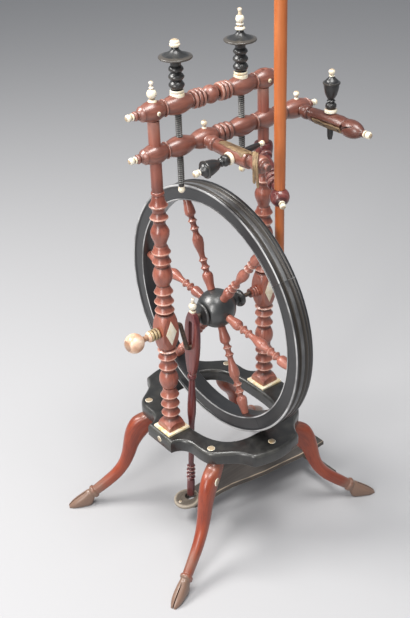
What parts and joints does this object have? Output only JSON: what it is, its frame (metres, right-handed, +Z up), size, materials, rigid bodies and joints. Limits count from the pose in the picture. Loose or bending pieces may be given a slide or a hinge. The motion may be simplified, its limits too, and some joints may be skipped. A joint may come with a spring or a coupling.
{
  "type": "spinning wheel",
  "caption": "Small upright spinning wheel: a treadle and crank turn the wheel under a screw-raised crossbar with swivel arms and a distaff pole, in a turned frame on hoofed legs.",
  "frame": {"origin": "on the floor under the middle of the wheel", "axes": "+X along the axle away from the crank, -Y towards the spinner, +Z up"},
  "size_m": [0.4354, 0.4, 0.93],
  "materials": {
    "mahogany": "polished",
    "ebonised": "polished black",
    "bone": "satin",
    "iron": "worn",
    "hide": "matte",
    "fruitwood": "waxed",
    "worn_wood": "worn"
  },
  "bodies": {
    "frame": {"platform": "ebonised", "leg_front_left": "mahogany", "leg_front_right": "mahogany", "leg_back_left": "mahogany", "leg_back_right": "mahogany", "bone_studs": "bone", "base_plates": "bone", "upright_left": "mahogany", "upright_right": "mahogany", "diamond_inlays": "bone", "top_crossbar": "mahogany", "top_crossbar_tips": "bone", "upright_finial": "bone", "tenon_pins": "bone", "screw_collars": "bone", "axle_bush": "mahogany"},
    "wheel": {"rim_felloe_1": "ebonised", "rim_felloe_2": "ebonised", "rim_felloe_3": "ebonised", "rim_felloe_4": "ebonised", "spoke_1": "mahogany", "spoke_2": "mahogany", "spoke_3": "mahogany", "spoke_4": "mahogany", "spoke_5": "mahogany", "spoke_6": "mahogany", "hub": "ebonised", "crank_axle": "iron"},
    "footman": {"footman": "mahogany", "footman_finial": "bone"},
    "treadle": {"treadle_board": "worn_wood", "treadle_disc": "worn_wood", "treadle_pin": "bone", "treadle_rod": "worn_wood"},
    "mother": {"lower_crossbar": "mahogany", "lower_crossbar_tips": "bone", "arm_lock_pins": "bone"},
    "screw_left": {"screw_left": "ebonised", "screw_left_bone": "bone"},
    "screw_right": {"screw_right": "ebonised", "screw_right_bone": "bone"},
    "arm_left": {"arm_left": "mahogany", "arm_left_leather": "hide"},
    "peg_left": {"peg_left": "ebonised", "peg_left_bone": "bone"},
    "arm_right": {"arm_right": "mahogany", "arm_right_tip": "bone", "arm_right_leather": "hide"},
    "peg_right": {"peg_right": "ebonised", "peg_right_bone": "bone"},
    "distaff_arm": {"distaff_arm": "mahogany", "distaff_arm_tip": "bone"},
    "distaff": {"distaff_pole": "fruitwood"},
    "pivot": {"pivot_screw": "bone", "pivot_ball": "bone"}
  },
  "joints": [
    {"name": "wheel_spin", "type": "hinge", "parent": "frame", "child": "wheel", "pos_m": [0, 0, 0.38], "axis": [1, 0, 0], "continuous": true},
    {"name": "footman_pivot", "type": "hinge", "parent": "wheel", "child": "footman", "pos_m": [-0.049, 0, 0.33], "axis": [1, 0, 0], "continuous": true},
    {"name": "treadle_rock", "type": "hinge", "parent": "frame", "child": "treadle", "pos_m": [0.157, 0, 0.036], "axis": [0, 1, 0], "range_deg": [0, 7.5]},
    {"name": "screw_left_turn", "type": "hinge", "parent": "frame", "child": "screw_left", "pos_m": [-0.055, 0, 0.72], "axis": [0, 0, 1], "range_deg": [-722, 1082]},
    {"name": "screw_right_turn", "type": "hinge", "parent": "frame", "child": "screw_right", "pos_m": [0.055, 0, 0.72], "axis": [0, 0, 1], "range_deg": [-722, 1082]},
    {"name": "mother_slide", "type": "slide", "parent": "frame", "child": "mother", "axis": [0, 0, 1], "range_m": [-0.018, 0.012]},
    {"name": "arm_left_swivel", "type": "hinge", "parent": "mother", "child": "arm_left", "pos_m": [-0.015, -0.02, 0.66], "axis": [0, 1, 0], "range_deg": [-10, 95]},
    {"name": "arm_right_swivel", "type": "hinge", "parent": "mother", "child": "arm_right", "pos_m": [0.16, -0.02, 0.66], "axis": [0, 1, 0], "range_deg": [-10, 90]},
    {"name": "peg_left_turn", "type": "hinge", "parent": "arm_left", "child": "peg_left", "pos_m": [-0.015, -0.077, 0.66], "axis": [-0.9945, 0, -0.1045], "continuous": true},
    {"name": "peg_right_turn", "type": "hinge", "parent": "arm_right", "child": "peg_right", "pos_m": [0.16, -0.072, 0.66], "axis": [0, 0, 1], "continuous": true},
    {"name": "distaff_arm_swing", "type": "hinge", "parent": "frame", "child": "distaff_arm", "pos_m": [0.096, 0, 0.6156], "axis": [0, 0, 1], "range_deg": [-6, 40]},
    {"name": "distaff_turn", "type": "hinge", "parent": "distaff_arm", "child": "distaff", "pos_m": [0.04, -0.099, 0.588], "axis": [0, 0, 1], "continuous": true},
    {"name": "pivot_screw_turn", "type": "hinge", "parent": "frame", "child": "pivot", "pos_m": [-0.12, 0, 0.38], "axis": [1, 0, 0], "continuous": true}
  ],
  "couplings": [
    {"joint": "footman_pivot", "follows": "wheel_spin", "ratio": -1},
    {"joint": "screw_left_turn", "follows": "mother_slide", "rad_per_m": -1047.2},
    {"joint": "screw_right_turn", "follows": "mother_slide", "rad_per_m": -1047.2}
  ]
}
